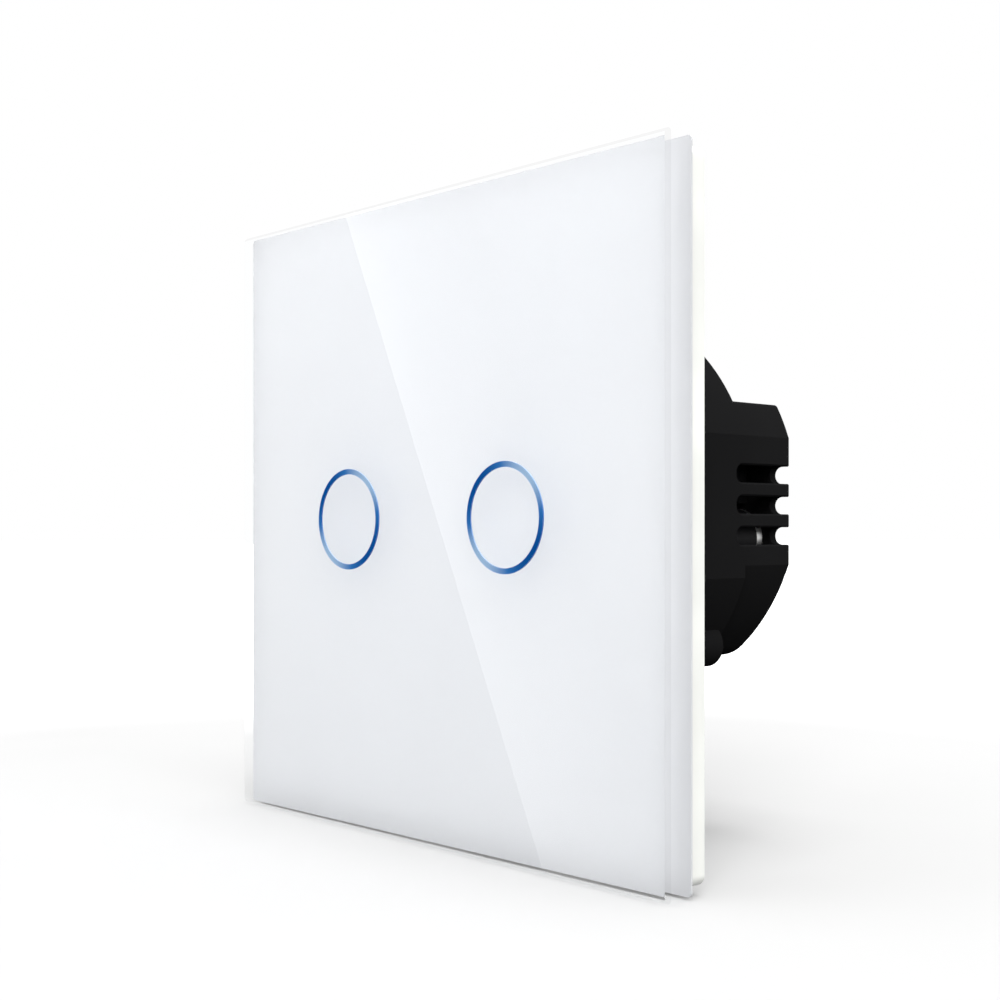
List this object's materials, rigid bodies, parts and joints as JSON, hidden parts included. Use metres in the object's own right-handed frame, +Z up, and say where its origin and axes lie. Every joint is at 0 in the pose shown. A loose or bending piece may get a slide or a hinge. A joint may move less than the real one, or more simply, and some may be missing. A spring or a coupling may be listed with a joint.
{
  "type": "touch light switch",
  "caption": "Square white glass touch light switch with ring touch keys, on a black round module with vents and screw terminals for a wall box.",
  "frame": {"origin": "midway between the two box screws, on the wall plane", "axes": "+X to the right seen from the room, +Y into the wall, +Z up"},
  "size_m": [0.08, 0.04, 0.08],
  "materials": {
    "glass": "gloss",
    "ring_ink": "gloss",
    "white_print": "satin",
    "tape": "matte",
    "white_plastic": "satin",
    "plated_steel": "satin",
    "black_plastic": "satin",
    "terminal_plastic": "satin",
    "screw_steel": "satin",
    "cage_steel": "satin",
    "copper_alloy": "satin",
    "guide_plastic": "satin",
    "spring_steel": "polished",
    "board_laminate": "satin",
    "lamp": "gloss",
    "chip_resin": "matte",
    "header_plastic": "matte",
    "pin_brass": "polished",
    "light_grey_plastic": "satin",
    "can_sleeve": "gloss",
    "varistor_resin": "satin",
    "fuse_plastic": "satin",
    "ferrite": "matte",
    "winding_tape": "gloss",
    "relay_plastic": "gloss",
    "bobbin_plastic": "satin",
    "coil_wire": "gloss",
    "soft_iron": "satin"
  },
  "bodies": {
    "module": {"assembly_screws": "screw_steel", "board_header": "header_plastic", "bulk_capacitor": "can_sleeve", "control_chip": "chip_resin", "film_capacitor": "light_grey_plastic", "fuse": "fuse_plastic", "header_pins": "pin_brass", "light_guide_left": "guide_plastic", "light_guide_right": "guide_plastic", "module_cover": "black_plastic", "mounting_plate": "plated_steel", "power_board": "board_laminate", "rear_housing": "black_plastic", "relay_base_left": "relay_plastic", "relay_base_right": "relay_plastic", "relay_bobbin_left": "bobbin_plastic", "relay_bobbin_right": "bobbin_plastic", "relay_case_left": "relay_plastic", "relay_case_right": "relay_plastic", "relay_contact_left": "copper_alloy", "relay_contact_right": "copper_alloy", "relay_core_left": "soft_iron", "relay_core_right": "soft_iron", "relay_winding_left": "coil_wire", "relay_winding_right": "coil_wire", "relay_yoke_left": "soft_iron", "relay_yoke_right": "soft_iron", "ring_leds": "lamp", "terminal_block": "terminal_plastic", "terminal_busbars": "copper_alloy", "touch_board": "board_laminate", "touch_chip": "chip_resin", "touch_spring_left": "spring_steel", "touch_spring_right": "spring_steel", "transformer_core": "ferrite", "transformer_winding": "winding_tape", "varistor": "varistor_resin"},
    "panel": {"glass_panel": "glass", "print_film": "white_print", "adhesive_tape": "tape", "panel_frame": "white_plastic", "touch_ring_left": "ring_ink", "touch_ring_right": "ring_ink"},
    "screw_1": {"terminal_screw_1": "screw_steel"},
    "cage_1": {"terminal_cage_1": "cage_steel"},
    "screw_2": {"terminal_screw_2": "screw_steel"},
    "cage_2": {"terminal_cage_2": "cage_steel"},
    "screw_3": {"terminal_screw_3": "screw_steel"},
    "cage_3": {"terminal_cage_3": "cage_steel"},
    "screw_4": {"terminal_screw_4": "screw_steel"},
    "cage_4": {"terminal_cage_4": "cage_steel"},
    "armature_left": {"relay_armature_left": "soft_iron", "relay_blade_left": "copper_alloy"},
    "armature_right": {"relay_armature_right": "soft_iron", "relay_blade_right": "copper_alloy"}
  },
  "joints": [
    {"name": "panel_pull_off", "type": "slide", "parent": "module", "child": "panel", "axis": [0, -1, 0], "range_m": [0, 0.03]},
    {"name": "terminal_screw_1_turn", "type": "hinge", "parent": "module", "child": "screw_1", "pos_m": [-0.01408, 0.03, 0.0074], "axis": [0, -1, 0], "range_deg": [0, 1152]},
    {"name": "terminal_cage_1_rise", "type": "slide", "parent": "module", "child": "cage_1", "axis": [0, 1, 0], "range_m": [0, 0.0016]},
    {"name": "terminal_screw_2_turn", "type": "hinge", "parent": "module", "child": "screw_2", "pos_m": [-0.00469, 0.03, 0.0074], "axis": [0, -1, 0], "range_deg": [0, 1152]},
    {"name": "terminal_cage_2_rise", "type": "slide", "parent": "module", "child": "cage_2", "axis": [0, 1, 0], "range_m": [0, 0.0016]},
    {"name": "terminal_screw_3_turn", "type": "hinge", "parent": "module", "child": "screw_3", "pos_m": [0.00469, 0.03, 0.0074], "axis": [0, -1, 0], "range_deg": [0, 1152]},
    {"name": "terminal_cage_3_rise", "type": "slide", "parent": "module", "child": "cage_3", "axis": [0, 1, 0], "range_m": [0, 0.0016]},
    {"name": "terminal_screw_4_turn", "type": "hinge", "parent": "module", "child": "screw_4", "pos_m": [0.01408, 0.03, 0.0074], "axis": [0, -1, 0], "range_deg": [0, 1152]},
    {"name": "terminal_cage_4_rise", "type": "slide", "parent": "module", "child": "cage_4", "axis": [0, 1, 0], "range_m": [0, 0.0016]},
    {"name": "relay_left_armature", "type": "hinge", "parent": "module", "child": "armature_left", "pos_m": [-0.0066, 0.00855, -0.0069], "axis": [-1, 0, 0], "range_deg": [0, 3.5], "stiffness_Nm_per_rad": 0.01, "springref_deg": -5.73},
    {"name": "relay_right_armature", "type": "hinge", "parent": "module", "child": "armature_right", "pos_m": [0.0066, 0.00855, -0.0069], "axis": [-1, 0, 0], "range_deg": [0, 3.5], "stiffness_Nm_per_rad": 0.01, "springref_deg": -5.73}
  ],
  "couplings": [
    {"joint": "terminal_screw_1_turn", "follows": "terminal_cage_1_rise", "rad_per_m": 12566},
    {"joint": "terminal_screw_2_turn", "follows": "terminal_cage_2_rise", "rad_per_m": 12566},
    {"joint": "terminal_screw_3_turn", "follows": "terminal_cage_3_rise", "rad_per_m": 12566},
    {"joint": "terminal_screw_4_turn", "follows": "terminal_cage_4_rise", "rad_per_m": 12566}
  ]
}
